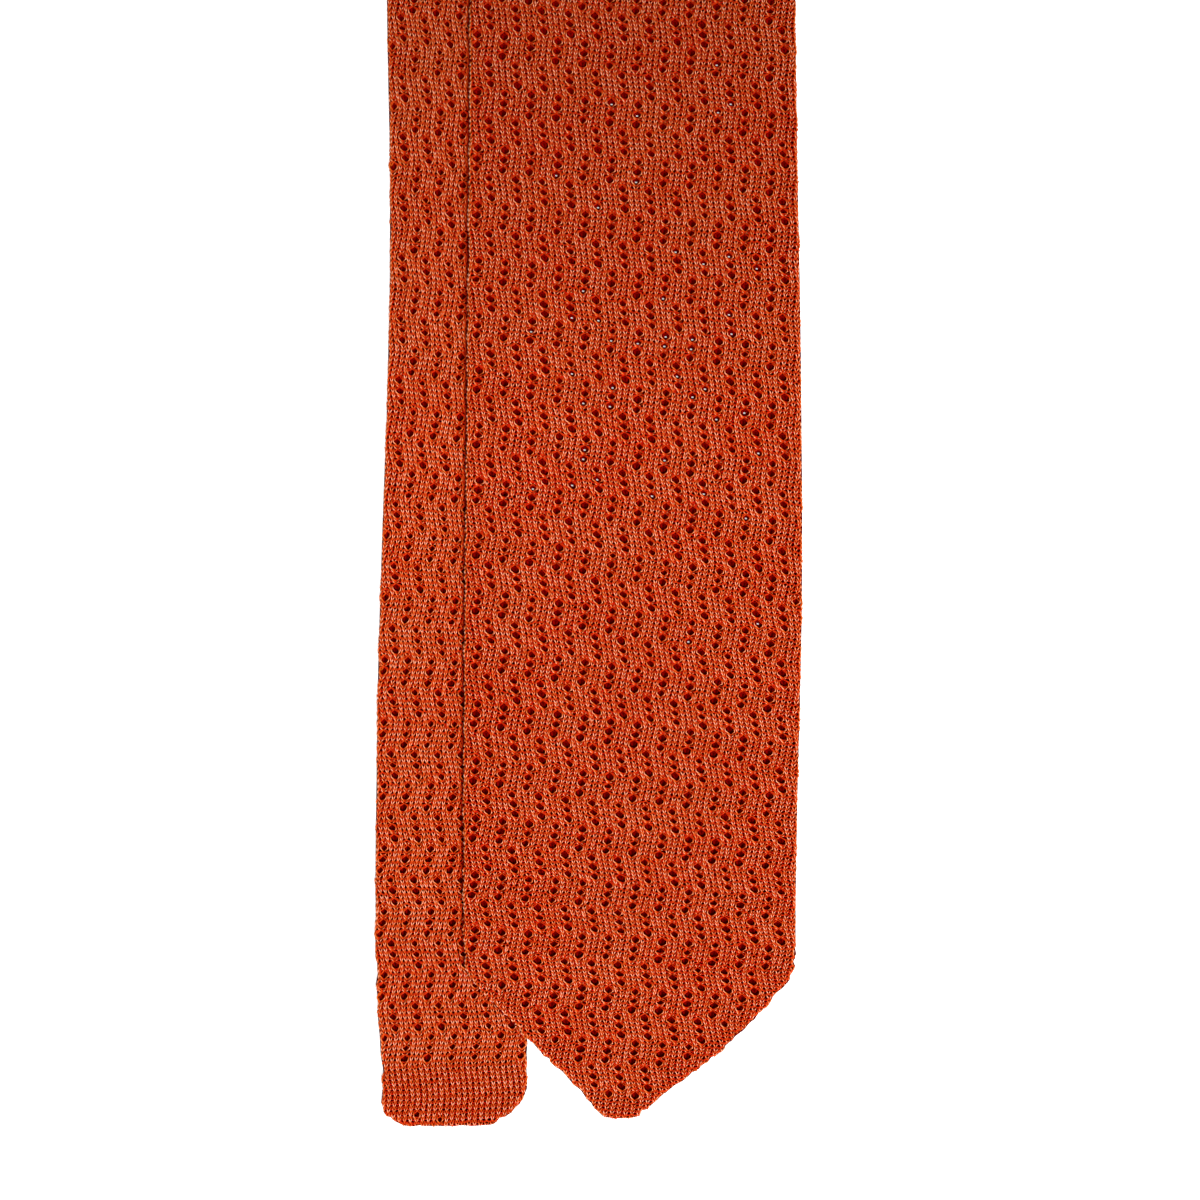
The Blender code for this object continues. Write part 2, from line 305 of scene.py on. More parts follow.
class YarnSizes(bpy.types.PropertyGroup):
    radius: length("Yarn radius", "Half the thickness of the silk yarn", 0.25 * MM)
    depth: length("Loop depth", "How far a loop's sides stand proud of its head and feet", 0.18 * MM)
    height: share("Loop height", "Half height of a loop as a share of a course", 0.80)
    sway: share("Loop sway", "How far a loop's sides bow out, as a share of a wale", 0.32)
    eyelet: length("Eyelet radius", "Opening of an average eyelet, from its middle to the yarn", 1.04 * MM)
    unevenness: length("Unevenness", "How far single stitches lie off the even grid", 0.09 * MM)


class BladeSizes(bpy.types.PropertyGroup):
    wide_wale: length("Wide blade's wale", "Width of one stitch of the wide blade", 1.60 * MM)
    narrow_wale: length("Narrow blade's wale", "Width of one stitch of the narrow blade", 1.40 * MM)
    neck_wales: IntProperty(
        name="Neck wales", description="Stitches round the neck band", default=40, min=8)
    seed: IntProperty(name="Seed", description="Draw of the uneven stitches", default=7, min=0)


class SilkColours(bpy.types.PropertyGroup):
    # Painted light: bright is the yarn's painted highlight, deep its painted shade between the loops, middle
    # lies between them
    bright: colour("Bright silk", "Top of the yarn", 1.0, 0.520, 0.385)
    middle: colour("Silk", "Sides of the yarn", 0.58, 0.119, 0.010)
    deep: colour("Deep silk", "Lower parts of the yarn, between the loops", 0.53, 0.0006, 0.0003)
    arc: colour("Arc silk", "Smooth yarn round the eyelets", 0.80, 0.170, 0.012)
    # Painted shade: inner is the lower layer's silk darkened, as it lies in shade under the upper one; shade
    # is darker still between its stitches
    inner: colour("Inner silk", "The lower layer, seen through the eyelets", 0.24, 0.0010, 0.0006)
    shade: colour("Shaded inner silk", "Between the stitches of the lower layer", 0.13, 0.0004, 0.0002)
    # Painted light on the cloth: cloth lights its stitches, cloth_deep is the painted shade between them
    cloth: colour("Cloth silk", "Stitches of the cloth past the camera's view", 0.56, 0.122, 0.044)
    cloth_deep: colour("Deep cloth silk", "Between the stitches of that cloth", 0.24, 0.0010, 0.0005)


class StageSizes(bpy.types.PropertyGroup):
    view_x: length("View middle X", "Point under the camera", 2.85 * MM)
    view_y: length("View middle Y", "Point under the camera", -237.5 * MM)
    view_side: length("View side", "Side of the square that the picture shows", 288 * MM)
    lens: FloatProperty(name="Lens", description="Focal length in millimetres", default=135.0)
    glow: FloatProperty(name="Floor glow", description="Light that the lit floor gives off", default=0.6)
    world: FloatProperty(name="Room light", description="Strength of the even light", default=0.50)
    key: FloatProperty(name="Key light", description="Strength of the soft light from above", default=4.30)
    key_size: FloatProperty(
        name="Key size", description="Angle that the key light fills", default=math.radians(22),
        subtype="ANGLE")
    key_tilt: FloatVectorProperty(
        name="Key tilt", description="How the key light is turned from straight down", subtype="EULER",
        default=(math.radians(24), math.radians(15), 0.0))


def ease(share):
    """Smooth step: 3s^2 - 2s^3 of a share s held between 0 and 1."""
    held = np.clip(share, 0.0, 1.0)
    return held * held * (3.0 - 2.0 * held)


def zigzag(turns):
    """Triangle wave of period 1 between -1 and 1."""
    return 1.0 - 4.0 * np.abs(turns % 1.0 - 0.5)


def smoothed(values, bell):
    """Running mean weighted by a bell, with the ends held."""
    return np.convolve(np.pad(values, len(bell) // 2, "edge"), bell / bell.sum(), "valid")


def outward(run):
    """Unit normals to the right of a loop's sides."""
    return np.column_stack((run[:, 1], -run[:, 0])) / np.linalg.norm(run, axis=1)[:, None]


class Outline:
    """Edges of a laid piece seen from above, read from the sections of its solids in the frame."""

    def __init__(self, nodes, nudges):
        """The left and right end of each section, evened out and smoothed along Y with a bell of EDGE_BLUR.

        nudges are added to them. A section that lies further inside its neighbours' chord than CORNER_LOSS
        has lost its outer corners to the packing of flat faces, so it is passed over.
        """
        rows = []
        for node in nodes:
            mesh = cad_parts[node].data
            points = np.empty(len(mesh.vertices) * 3)
            mesh.vertices.foreach_get("co", points)
            points = points.reshape(-1, 3)
            places, section = np.unique(np.round(points[:, 1], 6), return_inverse=True)
            low = np.full(len(places), np.inf)
            high = np.full(len(places), -np.inf)
            np.minimum.at(low, section, points[:, 0])
            np.maximum.at(high, section, points[:, 0])
            whole = np.ones(len(places), dtype=bool)
            share = (places[1:-1] - places[:-2]) / (places[2:] - places[:-2])
            for ends, way in ((low, 1.0), (high, -1.0)):
                chord = ends[:-2] + share * (ends[2:] - ends[:-2])
                whole[1:-1] &= way * (ends[1:-1] - chord) < CORNER_LOSS
            rows.append(np.column_stack((places, low, high))[whole])
        rows = np.concatenate(rows)
        rows = rows[np.argsort(rows[:, 0])]
        self.first, self.last = rows[0, 0], rows[-1, 0]
        self.y = np.linspace(self.first, self.last, int((self.last - self.first) / EDGE_STEP) + 1)
        reach = int(3 * EDGE_BLUR / EDGE_STEP)
        bell = np.exp(-0.5 * (np.arange(-reach, reach + 1) * EDGE_STEP / EDGE_BLUR) ** 2)
        self.left, self.right = (
            smoothed(np.interp(self.y, rows[:, 0], rows[:, side]), bell) for side in (1, 2))
        at, left, right, down = nudges.T
        self.left -= np.interp(self.y, at, left)
        self.right += np.interp(self.y, at, right)
        self.y -= np.interp(self.y, at, down)
        self.first, self.last = self.y[0], self.y[-1]
        self.loop = self.closed_loop()

    def closed_loop(self):
        """Corners of the outline, up the right edge and down the left, closer together round the lower end.

        Round the lower end the corners are a running mean over CORNER_RUN, so nothing there is sharp.
        """
        loop = np.concatenate((
            np.column_stack((self.left, self.y))[::-1], np.column_stack((self.right, self.y))))
        gone = np.concatenate(([0.0], np.cumsum(np.linalg.norm(np.diff(loop, axis=0), axis=1))))
        at = np.arange(0.0, gone[-1], FINE_SPACING)
        even = np.column_stack([np.interp(at, gone, loop[:, axis]) for axis in (0, 1)])
        reach = int(CORNER_RUN / FINE_SPACING / 2)
        bell = np.hanning(2 * reach + 3)[1:-1]
        soft = np.column_stack([smoothed(even[:, axis], bell) for axis in (0, 1)])
        low = soft[:, 1] < self.first + POINT_LENGTH + 2 * SEWN_EDGE
        order = np.arange(len(soft))
        keep = low & (order % int(POINT_SPACING / FINE_SPACING) == 0)
        keep |= order % int(SIDE_SPACING / FINE_SPACING) == 0
        keep[[0, -1]] = True
        loop = soft[keep]
        out = outward(np.roll(loop, -1, axis=0) - np.roll(loop, 1, axis=0))
        bump = np.random.default_rng(EDGE_SEED).normal(0, 1, len(loop)) * POINT_UNEVEN * low[keep]
        return loop + out * bump[:, None]

    def edge(self, y, side):
        """Place of one edge at y."""
        return np.interp(y, self.y, side)

    def middle(self, y):
        """Middle line of the piece. Below the shoulders it runs straight on."""
        held = np.maximum(y, self.first + POINT_LENGTH + 2 * SEWN_EDGE)
        return (self.edge(held, self.left) + self.edge(held, self.right)) / 2

    def inside(self, flat):
        """How far points lie inside the outline, below 0 outside it, and the way out from there.

        The distance is to the nearest side of the closed loop. The way out is blended between the normals at
        the side's two ends, so it turns evenly round corners.
        """
        start = self.loop
        run = np.roll(start, -1, axis=0) - start
        length = np.linalg.norm(run, axis=1)
        out = outward(run)
        corner = out + np.roll(out, 1, axis=0)
        corner /= np.linalg.norm(corner, axis=1)[:, None]
        best = np.full(len(flat), np.inf)
        way = np.zeros_like(flat)
        sign = np.ones(len(flat))
        for k in range(len(start)):
            offset = flat - start[k]
            share = np.clip(offset @ run[k] / length[k] ** 2, 0.0, 1.0)
            gap = offset - share[:, None] * run[k]
            distance = np.einsum("ij,ij->i", gap, gap)
            nearer = distance < best
            best = np.where(nearer, distance, best)
            after = corner[(k + 1) % len(start)]
            blend = corner[k] + share[:, None] * (after - corner[k])
            way = np.where(nearer[:, None], blend, way)
            sign = np.where(nearer, np.where(gap @ out[k] > 0, -1.0, 1.0), sign)
        way /= np.linalg.norm(way, axis=1)[:, None]
        return sign * np.sqrt(best), way


class Cloth:
    """One blade's grid of stitches: where a wale p and a course q lie on the ground plan, and how the layers
    of the flattened tube stand above it."""

    def __init__(self, outline, wale, rows, ground):
        """The courses are counted from the lower end by adding up 1 / (length of a course) along Y."""
        self.outline = outline
        self.wale = wale
        self.rows = rows
        self.ground = ground
        self.y = np.linspace(outline.first - 10 * MM, outline.last + 10 * MM, 2000)
        pitch = np.interp(self.y, self.rows[:, 0], self.rows[:, 1])
        count = np.concatenate(([0.0], np.cumsum((1 / pitch[1:] + 1 / pitch[:-1]) / 2 * np.diff(self.y))))
        self.q = count - np.interp(outline.first, self.y, count)
        self.half_wales = int(math.ceil(float(np.max(outline.right - outline.left)) / 2 / wale)) + 3

    def course_at(self, y):
        """Number of the course that crosses the middle line at y."""
        return float(np.interp(y, self.y, self.q))

    def plan(self, p, q):
        """Ground plan: x = middle(y) + p wale + swing zigzag(q / repeat), y = course line - drop p wale."""
        y = np.interp(q, self.q, self.y)
        drop = np.interp(y, self.rows[:, 0], self.rows[:, 2])
        swing = np.interp(y, self.rows[:, 0], self.rows[:, 3])
        off = p * self.wale
        y = y - drop * off
        x = self.outline.middle(y) + off + swing * zigzag(q / REPEAT_COURSES)
        return x, y

    def unstitched(self, x, y, q):
        """Past the single stitches, with a little overlap."""
        return (y > FINE_END - LAP) | (q > int(self.course_at(FINE_END)) - 2)

    def flat(self, p, q):
        """The ground plan's points as one list."""
        return np.column_stack([axis.ravel() for axis in self.plan(p, q)])

    def depth(self, p, q):
        """The ground plan's x and y, and how far they lie inside the outline."""
        flat = self.flat(p, q)
        inside = self.outline.inside(flat)[0]
        return [values.reshape(p.shape) for values in (flat[:, 0], flat[:, 1], inside)]

    def lay(self, flat, level, lift, turn):
        """Place points of the plan on a layer of the tube, and give the layer's normal there.

        level is the layer's height above its ground. The fold's middle lies at half the tube's thickness.
        With e a point's distance from the outline less the layer's setback, and r the fold's radius, a point
        nearer than r turns round by (r - e) / r, at most turn. It moves out by r sin(turn) from where the
        fold begins, and its height is the middle + r cos(turn). lift moves it along the normal.
        """
        half = THICKNESS / 2
        radius = abs(level - half)
        way_up = 1.0 if level > half else -1.0
        inside, out = self.outline.inside(flat)
        set_in = inside - (half - radius)
        angle = np.clip((radius - set_in) / radius, 0.0, turn)
        shift = np.where(angle > 0, set_in - radius + radius * np.sin(angle), 0.0)
        x = flat[:, 0] + out[:, 0] * (shift + lift * np.sin(angle))
        y = flat[:, 1] + out[:, 1] * (shift + lift * np.sin(angle))
        z = self.ground(x, y) + half + way_up * (radius + lift) * np.cos(angle)
        normal = np.column_stack((
            out[:, 0] * np.sin(angle), out[:, 1] * np.sin(angle), way_up * np.cos(angle)))
        kept = set_in > radius * (1.0 - turn)
        return np.column_stack((x, y, z)), normal, kept, inside, out


def holes_of(p, q, shift=(0, 0)):
    """True where the repeat has an eyelet."""
    wale = (p + shift[0]) % REPEAT_WALES
    course = (q + shift[1]) % REPEAT_COURSES
    first = (wale == 0) & np.isin(course, FIRST_HOLES)
    second = (wale == REPEAT_WALES // 2) & np.isin(course, SECOND_HOLES)
    return first | second


def loops(cloth, courses, eyelets, sizes, loop, seed):
    """Middle lines of the courses' yarns, as wale p and course q, with the loop's own rise.

    Along one stitch t runs from -pi to pi: p = t / 2 pi + sway sin 2t - drawn_in sin t, q = height cos t,
    and the sides stand proud by -depth cos 2t. An eyelet of radius R pushes a point at distance r out to
    (r^n + R^n)^(1/n), which fades as exp(-(r / reach)^2). Distances up the blade count times squeeze.
    The painted highlight on top is sin^4 t, and the smooth arc round an eyelet fades with the distance too.
    """
    draw = np.random.default_rng(seed)
    p = np.arange(-cloth.half_wales - HALO, cloth.half_wales + HALO)
    q = np.arange(courses[0] - HALO, courses[1] + HALO)
    wale, course = np.meshgrid(p, q)
    size = EYELET_RANGE[0] + EYELET_RANGE[1] * draw.random(wale.shape)
    hole = eyelets(wale, course) * loop.eyelet * size
    t = np.arange(POINTS) / POINTS * 2 * np.pi - np.pi
    pitch = np.interp(np.interp(q, cloth.q, cloth.y), cloth.rows[:, 0], cloth.rows[:, 1])[:, None]
    middle_x = (wale + 0.5) * cloth.wale
    middle_y = (course + 0.5) * pitch
    bow = t / (2 * np.pi) + loop.sway * np.sin(2 * t) - loop.drawn_in * np.sin(t)
    x = middle_x[:, :, None] + cloth.wale * bow
    y = middle_y[:, :, None] + pitch[:, :, None] * loop.height * np.cos(t)
    start_x, start_y = x.copy(), y.copy()
    near = np.zeros_like(x)
    padded = np.pad(hole, PUSH_STITCHES)
    for down in range(-PUSH_STITCHES, PUSH_STITCHES + 1):
        for across in range(-PUSH_STITCHES, PUSH_STITCHES + 1):
            radius = padded[PUSH_STITCHES + down:, PUSH_STITCHES + across:][:len(q), :len(p), None]
            dx = start_x - (middle_x + across * cloth.wale)[:, :, None]
            dy = (start_y - (middle_y + (down + PUSH_LIFT) * pitch)[:, :, None]) * loop.squeeze
            r = np.hypot(dx, dy) + TINY
            fade = np.exp(-((r / PUSH_REACH) ** 2))
            push = ((r ** PUSH_POWER + radius ** PUSH_POWER) ** (1 / PUSH_POWER) / r - 1) * fade
            x += dx * push
            y += dy * push
            near = np.maximum(near, np.where(radius > 0, fade * np.exp(-((r / ARC_REACH) ** 2)), 0.0))
    x += draw.normal(0, 1, wale.shape)[:, :, None] * sizes.unevenness * np.cos(t / 2) ** 2
    y += draw.normal(0, 1, wale.shape)[:, :, None] * sizes.unevenness
    off = draw.normal(0, 1, wale.shape)[:, :, None] * UNEVEN_RISE * sizes.unevenness
    rise = -loop.depth * np.cos(2 * t) + off
    # Painted highlight on the loop's proud sides, uneven from stitch to stitch
    proud = np.sin(t) ** 4 * (BRIGHT_RANGE[0] + BRIGHT_RANGE[1] * draw.random(wale.shape))[:, :, None]
    inner = slice(HALO, -HALO)
    parts = (x / cloth.wale, y / pitch[:, :, None], rise, proud, near)
    return [part[inner, inner].reshape(courses[1] - courses[0], -1) for part in parts]


def put_object(name, data):
    """New object in the scene."""
    made = bpy.data.objects.new(name, data)
    bpy.context.scene.collection.objects.link(made)
    return made


def put_mesh(name, points, faces, material, uv=None, marks=()):
    """Mesh object at the origin from points, arrays of quads and triangles, UV maps and point attributes."""
    mesh = bpy.data.meshes.new(name)
    mesh.vertices.add(len(points))
    mesh.vertices.foreach_set("co", np.ascontiguousarray(points, dtype=np.float32).ravel())
    corners = np.concatenate([block.ravel() for block in faces])
    sizes = np.concatenate([np.full(len(block), block.shape[1]) for block in faces])
    mesh.loops.add(len(corners))
    mesh.loops.foreach_set("vertex_index", corners.astype(np.int32))
    mesh.polygons.add(len(sizes))
    mesh.polygons.foreach_set("loop_start", np.concatenate(([0], np.cumsum(sizes)[:-1])).astype(np.int32))
    mesh.update(calc_edges=True)
    for title, blocks in (uv or {}).items():
        layer = mesh.uv_layers.new(name=title)
        values = np.concatenate([block.reshape(-1, 2) for block in blocks])
        layer.data.foreach_set("uv", values.astype(np.float32).ravel())
    for title, values in marks:
        mark = mesh.attributes.new(title, "FLOAT", "POINT")
        mark.data.foreach_set("value", values.astype(np.float32).ravel())
    mesh.shade_smooth()
    mesh.materials.append(material)
    return put_object(name, mesh)


def yarn_piece(name, line, normal, kept, proud, near, radius, material):
    """Courses of yarn as closed three-sided tubes: ring = line + radius (cos a side + sin a up).

    side is the cross product of the yarn's way and the layer's normal, and up of side and way. A ring's
    first corner points up. Faces join neighbouring kept rings, and each run's ends are closed. The bake map
    runs along the course in u and gives each side of each course its own strip in v.
    """
    rows, count, _ = line.shape
    link = kept[:, :-1] & kept[:, 1:]
    before, after = np.pad(link, ((0, 0), (1, 0))), np.pad(link, ((0, 0), (0, 1)))
    way = np.gradient(line, axis=1)
    way /= np.linalg.norm(way, axis=2, keepdims=True)
    side = np.cross(way, normal)
    side /= np.linalg.norm(side, axis=2, keepdims=True) + TINY ** 2
    up = np.cross(side, way)
    angle = np.arange(SIDES) / SIDES * 2 * np.pi + np.pi / 2
    ring = line[:, :, None, :] + radius * (
        np.cos(angle)[:, None] * side[:, :, None, :] + np.sin(angle)[:, None] * up[:, :, None, :])
    used = np.broadcast_to((before | after)[:, :, None], (rows, count, SIDES))
    number = np.cumsum(used.ravel()).reshape(used.shape) - 1
    row, place = np.nonzero(link)
    a = number[row, place]
    b = number[row, place + 1]
    quads = np.stack((a, b, np.roll(b, -1, axis=1), np.roll(a, -1, axis=1)), axis=-1).reshape(-1, 4)
    u0, u1 = ((ends / (count - 1))[:, None] + np.zeros(SIDES) for ends in (place, place + 1))
    v0 = (row[:, None] * SIDES + np.arange(SIDES)) / (rows * SIDES)
    v1 = v0 + STRIP_FILL / (rows * SIDES)
    corners = [np.stack(pair, -1) for pair in ((u0, v0), (u1, v0), (u1, v1), (u0, v1))]
    quad_uv = np.stack(corners, axis=2).reshape(-1, 4, 2)
    caps, cap_uv = [], []
    for ends, order, step in ((after & ~before, (0, 1, 2), -1), (before & ~after, (2, 1, 0), 1)):
        row, place = np.nonzero(ends)
        caps.append(number[row, place][:, order])
        u = np.clip(place / (count - 1), CAP_MARGIN, 1 - CAP_MARGIN)
        corners = [np.stack((u + step * out * CAP_WIDTH, (row + rise * CAP_RISE) / rows), -1)
                   for out, rise in ((0, 0), (1, 1), (0, 2))]
        cap_uv.append(np.stack(corners, axis=1))
    # Painted light: the ring's top corner holds the painted highlight and the lower corners painted shade;
    # where the layer stands on edge, its sides get SIDE_CREST of it
    painted_light = np.zeros(used.shape)
    painted_light[:, :, 0] = LEAST_CREST + (1 - LEAST_CREST) * proud
    painted_light = np.maximum(painted_light, SIDE_CREST * (1.0 - np.clip(normal[:, :, 2:], 0.0, 1.0)))
    rim = np.broadcast_to(near[:, :, None], used.shape)
    return put_mesh(
        name, ring[used], [quads, np.concatenate(caps)], material,
        uv={"OFBake": [quad_uv, np.concatenate(cap_uv)]}, marks=(("painted_light", painted_light[used]), ("rim", rim[used])))


def slab_piece(name, top, bottom, kept, stitch, material):
    """Closed slab between two grids of points, with a quad per kept cell above and below.

    Where a kept cell has no kept neighbour, a rim joins top and bottom. Where kept has as many columns as
    the grids, the last column of cells joins the first. stitch holds the wale and course at the cells'
    corners, which the cloth's pattern follows.
    """
    columns = kept.shape[1]
    number = np.arange(top.shape[0] * top.shape[1]).reshape(top.shape[:2])
    here, right = number[:, :columns], np.roll(number, -1, axis=1)[:, :columns]
    corners = (here[:-1], right[:-1], right[1:], here[1:])
    sides = "wrap" if columns == top.shape[1] else "constant"
    padded = np.pad(np.pad(kept, ((1, 1), (0, 0))), ((0, 0), (1, 1)), mode=sides)
    beyond = (padded[:-2, 1:-1], padded[1:-1, 2:], padded[2:, 1:-1], padded[1:-1, :-2])
    cell = np.stack([corner[kept] for corner in corners], axis=-1)
    row, column = np.nonzero(kept)
    steps = ((0, 0), (0, 1), (1, 1), (1, 0))
    place = np.stack([stitch[row + down, column + across] for down, across in steps], axis=1)
    faces = [cell, cell[:, ::-1] + number.size]
    uv = [place, place[:, ::-1]]
    for k in range(4):
        bare = kept & ~beyond[k]
        after = (k + 1) % 4
        first, second = corners[k][bare], corners[after][bare]
        faces.append(np.stack((first + number.size, second + number.size, second, first), axis=-1))
        row, column = np.nonzero(bare)
        one, two = (stitch[row + steps[end][0], column + steps[end][1]] for end in (k, after))
        uv.append(np.stack((one, two, two, one), axis=1))
    points = np.concatenate((top.reshape(-1, 3), bottom.reshape(-1, 3)))
    used = np.unique(np.concatenate([block.ravel() for block in faces]))
    compact = np.zeros(len(points), dtype=int)
    compact[used] = np.arange(len(used))
    return put_mesh(name, points[used], [compact[block] for block in faces], material, uv={"Stitch": uv})


def no_holes(x, *others):
    """No eyelets."""
    return np.zeros_like(x, dtype=bool)


def upper_holes(x, y, p, q, depth):
    """Eyelets of the cloth in an upper layer."""
    return holes_of(p, q) & (depth > CLOTH_EYELET)


def everywhere(x, *others):
    """Every cell of a slab, or a yarn's full painted highlight, with no painted shadow."""
    return np.ones_like(x, dtype=bool)


def cloth_slab(name, cloth, courses, layer, material, eyelets=no_holes, wanted=everywhere, shrink=1.0,
               step=1):
    """One layer of a blade as a slab: grid points on the plan, those past the outline drawn in to it.

    The corners of the outermost cells are drawn out to the outline, and those of an eyelet's cell in to its
    middle by shrink.
    """
    level, turn = layer
    wale, course = (grid.astype(float) for grid in np.meshgrid(
        np.arange(-cloth.half_wales, cloth.half_wales + 1), np.arange(courses[0], courses[1] + 1, step)))
    middle_p = (wale[:-1, :-1] + wale[1:, 1:]) / 2
    middle_q = (course[:-1, :-1] + course[1:, 1:]) / 2
    x, y, depth = cloth.depth(middle_p, middle_q)
    holes = eyelets(x, y, np.floor(middle_p).astype(int), np.floor(middle_q).astype(int), depth)
    radius = abs(level - THICKNESS / 2)
    least = THICKNESS / 2 - radius + radius * (1.0 - turn) + TURN_MARGIN
    border = np.zeros(wale.shape, dtype=bool)
    p_drawn, q_drawn = wale.copy(), course.copy()
    for down in (0, 1):
        for across in (0, 1):
            cells = (slice(down, down + holes.shape[0]), slice(across, across + holes.shape[1]))
            border[cells] |= depth <= least
            for grid, centre in ((p_drawn, middle_p), (q_drawn, middle_q)):
                corner = grid[cells]
                corner[holes] = centre[holes] + (corner[holes] - centre[holes]) * shrink
    flat = cloth.flat(p_drawn, q_drawn)
    inside, out = cloth.outline.inside(flat)
    far = (inside < least) | (border.ravel() & (inside < least + cloth.wale))
    flat = flat + out * np.where(far, inside - least, 0.0)[:, None]
    flat[:, 1] = np.clip(flat[:, 1], cloth.outline.first, cloth.outline.last)
    upper, lower = (
        cloth.lay(flat, level, lift, turn)[0].reshape(*wale.shape, 3) for lift in (SLAB / 2, -SLAB / 2))
    if level < THICKNESS / 2:
        upper, lower = lower, upper
    kept = (depth > least) & (y > cloth.outline.first) & (y < cloth.outline.last) & ~holes
    kept &= wanted(x, y, middle_q)
    return slab_piece(name, upper, lower, kept, np.stack((p_drawn, q_drawn), axis=-1), material)


class Shade:
    """Wraps a node's output, so that shader maths reads as plain expressions."""

    def __init__(self, tree, socket):
        self.tree, self.socket = tree, socket

    def math(self, operation, *others):
        return self.tree.math(operation, self, *others)

    def __add__(self, other):
        return self.math("ADD", other)

    def __sub__(self, other):
        return self.math("SUBTRACT", other)

    def __rsub__(self, other):
        return self.tree.math("SUBTRACT", other, self)

    def __mul__(self, other):
        return self.math("MULTIPLY", other)

    def __truediv__(self, other):
        return self.math("DIVIDE", other)

    __radd__, __rmul__ = __add__, __mul__


class Tree:
    """A material's nodes. node() makes any node, sets it up, and links or sets its inputs."""

    def __init__(self, name):
        self.material = bpy.data.materials.new(name)
        self.material.use_nodes = True
        self.nodes = self.material.node_tree.nodes
        self.links = self.material.node_tree.links
        self.shader = self.nodes["Principled BSDF"]

    def plug(self, socket, value):
        if isinstance(value, Shade):
            self.links.new(value.socket, socket)
        else:
            socket.default_value = value

    def node(self, kind, settings, inputs, output=0):
        made = self.nodes.new(kind)
        for key, value in settings.items():
            setattr(made, key, value)
        pairs = inputs.items() if isinstance(inputs, dict) else enumerate(inputs)
        for key, value in pairs:
            self.plug(made.inputs[key], value)
        return Shade(self, made.outputs[output])

    def math(self, operation, *parts):
        return self.node("ShaderNodeMath", {"operation": operation}, parts)

    def mark(self, name):
        return self.node("ShaderNodeAttribute", {"attribute_name": name}, {}, "Fac")

    def split(self, kind, settings, output=0):
        """The first two parts of a vector that a node gives."""
        first = self.node("ShaderNodeSeparateXYZ", {}, (self.node(kind, settings, {}, output),))
        return first, Shade(self, first.socket.node.outputs[1])

    def noise(self, scale, detail=2.0):
        place = self.node("ShaderNodeTexCoord", {}, {}, "Object")
        return self.node("ShaderNodeTexNoise", {}, {"Vector": place, "Scale": scale, "Detail": detail}, 0)

    def mix(self, share, one, two):
        settings = {"data_type": "RGBA", "clamp_factor": True}
        return self.node("ShaderNodeMix", settings, {0: share, 6: one, 7: two}, 2)

    def finish(self, constants, links):
        for name, value in {**constants, **links}.items():
            self.plug(self.shader.inputs[name], value)
        return self.material

    def bump(self, height, strength, distance):
        return self.node(
            "ShaderNodeBump", {}, {"Height": height, "Strength": strength, "Distance": distance})


def yarn_material(name, colours):
    """Silk yarn: painted shade in deep crimson low between the loops and a painted highlight in bright orange
    on top, in fine twisted plies.
    """
    tree = Tree(name)
    along, strip = tree.split("ShaderNodeUVMap", {"uv_map": "OFBake"})
    height = tree.split("ShaderNodeTexCoord", {}, "Object")[1]
    painted_light, rim = tree.mark("painted_light"), tree.mark("rim")
    slow, fine = tree.noise(PATCH_SCALE), tree.noise(FIBRE_SCALE, 3.0)
    # Painted light: the mark sets the painted highlight against the painted shade
    share = painted_light.math("POWER", CREST_POWER) * CREST_GAIN
    share = share + (slow - 0.5) * YARN_PATCHES + (fine - 0.5) * YARN_FIBRES
    colour = tree.mix(share * 2.0, tuple(colours.deep), tuple(colours.middle))
    colour = tree.mix(share * 2.0 - 1.0, colour, tuple(colours.bright))
    colour = tree.mix(rim * ARC_SHARE * painted_light, colour, tuple(colours.arc))
    # Painted shade, darker towards the picture's top
    colour = tree.mix((height - DIM_FROM).math("MAXIMUM", 0.0) * DIMMING, colour, BLACK)
    ply = ((along * PLIES + strip * PLY_SHIFT) * (2 * math.pi)).math("SINE")
    return tree.finish(
        {"Specular IOR Level": SHEEN, "Specular Tint": SHEEN_TINT},
        {"Base Color": colour, "Roughness": YARN_ROUGHNESS[0] + fine * YARN_ROUGHNESS[1],
         "Normal": tree.bump(ply, *PLY_BUMP)})


def cloth_material(name, deep, bright, roughness, patches):
    """Cloth of V-shaped stitches from the wale and course at each point.

    With s the distance from a wale's middle line and f the share of the way up a course, a stitch's arm lies
    at s = ARM_START + ARM_LEAN f and falls off to both sides as 1 - (distance / ARM_WIDTH)^2. The stitches
    are the knit's own; their bright arms are painted light and the deep gaps between them painted shade.
    """
    tree = Tree(name)
    wale, course = tree.split("ShaderNodeUVMap", {"uv_map": "Stitch"})
    rise = course.math("FRACT")
    arm = ((wale.math("FRACT") - 0.5).math("ABSOLUTE") - ARM_START - rise * ARM_LEAN) / ARM_WIDTH
    ends = (rise * 2.0 - 1.0).math("ABSOLUTE").math("POWER", END_LOSS[0])
    relief = (1.0 - arm * arm) * (1.0 - ends * END_LOSS[1])
    slow = tree.noise(patches[1])
    share = relief * RELIEF_WEIGHT + (slow - 0.5) * patches[0]
    return tree.finish(
        {"Specular IOR Level": 0.0},
        {"Base Color": tree.mix(share, tuple(deep), tuple(bright)),
         "Roughness": roughness[0] + slow * roughness[1], "Normal": tree.bump(relief, *STITCH_BUMP)})


def settle(pieces, node):
    """Hang finished pieces, with their finish, on the one body, and hide the solid that they stand for."""
    for piece in pieces:
        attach(piece, ROOT)
        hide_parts(node)


@cache
def wide_outline():
    """Outline of the wide blade."""
    return Outline(("wide_blade",), WIDE_NUDGES)


@cache
def tail_outline():
    """Outline of the narrow blade with its hem."""
    return Outline(("tail_hem", "narrow_blade"), TAIL_NUDGES)


